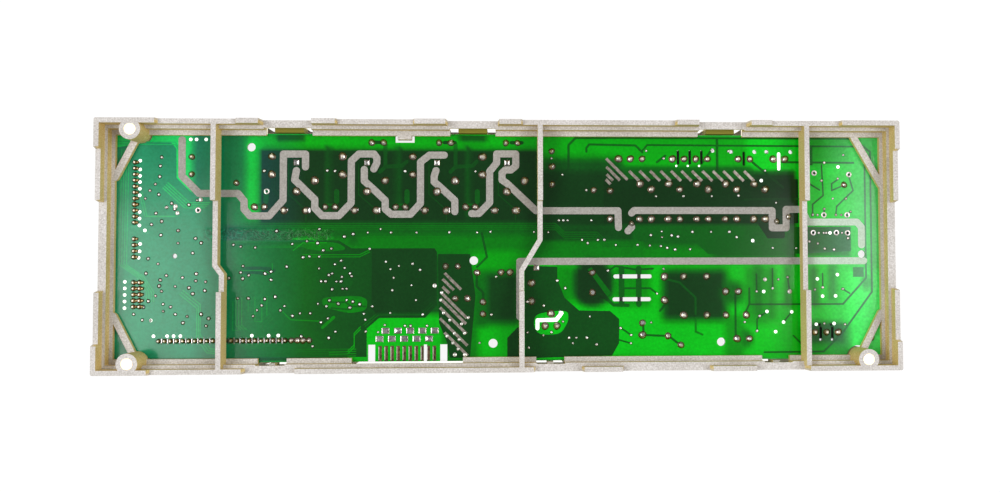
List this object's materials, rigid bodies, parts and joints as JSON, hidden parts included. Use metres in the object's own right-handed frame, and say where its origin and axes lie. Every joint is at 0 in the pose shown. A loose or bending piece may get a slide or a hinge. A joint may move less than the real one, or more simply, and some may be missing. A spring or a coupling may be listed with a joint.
{
  "type": "range control board",
  "caption": "Populated control board snapped into a stepped light grey frame, seen from its solder side: relays, supply parts and headers hang on the front, bosses take screws.",
  "frame": {"origin": "centre of the front rim that the object rests on", "axes": "+X along the length, +Y across towards the edge with the locating tab, +Z from the front rim to the solder side"},
  "size_m": [0.335, 0.1054, 0.04],
  "materials": {
    "frame_plastic": "moulded filled plastic, light warm grey, fine speckle",
    "board_laminate": "green solder mask over glass laminate",
    "printed_ink": "printed light grey ink",
    "tinned_copper": "solder-tinned copper",
    "relay_case_black": "moulded black case",
    "relay_case_grey": "moulded dark grey case",
    "header_nylon": "natural nylon",
    "black_moulding": "black moulding compound",
    "capacitor_sleeve": "shrink sleeve over an aluminium can",
    "film_box": "potted plastic box",
    "dipped_blue": "dipped lacquer",
    "ferrite": "sintered ferrite",
    "winding_tape": "polyester tape over wire",
    "crystal_can": "pressed metal can"
  },
  "bodies": {
    "root": {"bulk_capacitor": "capacitor_sleeve", "buzzer": "black_moulding", "circuit_board": "board_laminate", "crystal": "crystal_can", "display_header": "black_moulding", "edge_fingers": "tinned_copper", "film_capacitor": "film_box", "flyback_diodes": "black_moulding", "fuse": "black_moulding", "housing_frame": "frame_plastic", "isolation_line": "printed_ink", "jumper_links": "black_moulding", "key_header": "black_moulding", "keypad_header": "black_moulding", "load_header_four_way": "header_nylon", "load_header_left": "header_nylon", "load_header_right": "header_nylon", "load_header_three_way": "header_nylon", "microcontroller": "black_moulding", "optocoupler_1": "black_moulding", "optocoupler_2": "black_moulding", "output_capacitor_1": "capacitor_sleeve", "output_capacitor_2": "capacitor_sleeve", "output_capacitor_3": "capacitor_sleeve", "power_relay_1": "relay_case_black", "power_relay_2": "relay_case_black", "power_relay_3": "relay_case_black", "power_relay_4": "relay_case_black", "program_header": "black_moulding", "rectifier_diode": "black_moulding", "relay_driver_1": "black_moulding", "relay_driver_2": "black_moulding", "safety_capacitor": "dipped_blue", "slim_relay_1": "relay_case_grey", "slim_relay_2": "relay_case_grey", "slim_relay_3": "relay_case_grey", "slim_relay_4": "relay_case_grey", "slim_relay_5": "relay_case_grey", "snubber_capacitor_1": "film_box", "snubber_capacitor_2": "film_box", "snubber_capacitor_3": "film_box", "solder_bars": "tinned_copper", "supply_header": "header_nylon", "switching_transistor": "black_moulding", "test_pads": "tinned_copper", "transformer_core": "ferrite", "transformer_former": "black_moulding", "transformer_winding": "winding_tape", "varistor": "dipped_blue"}
  },
  "joints": []
}
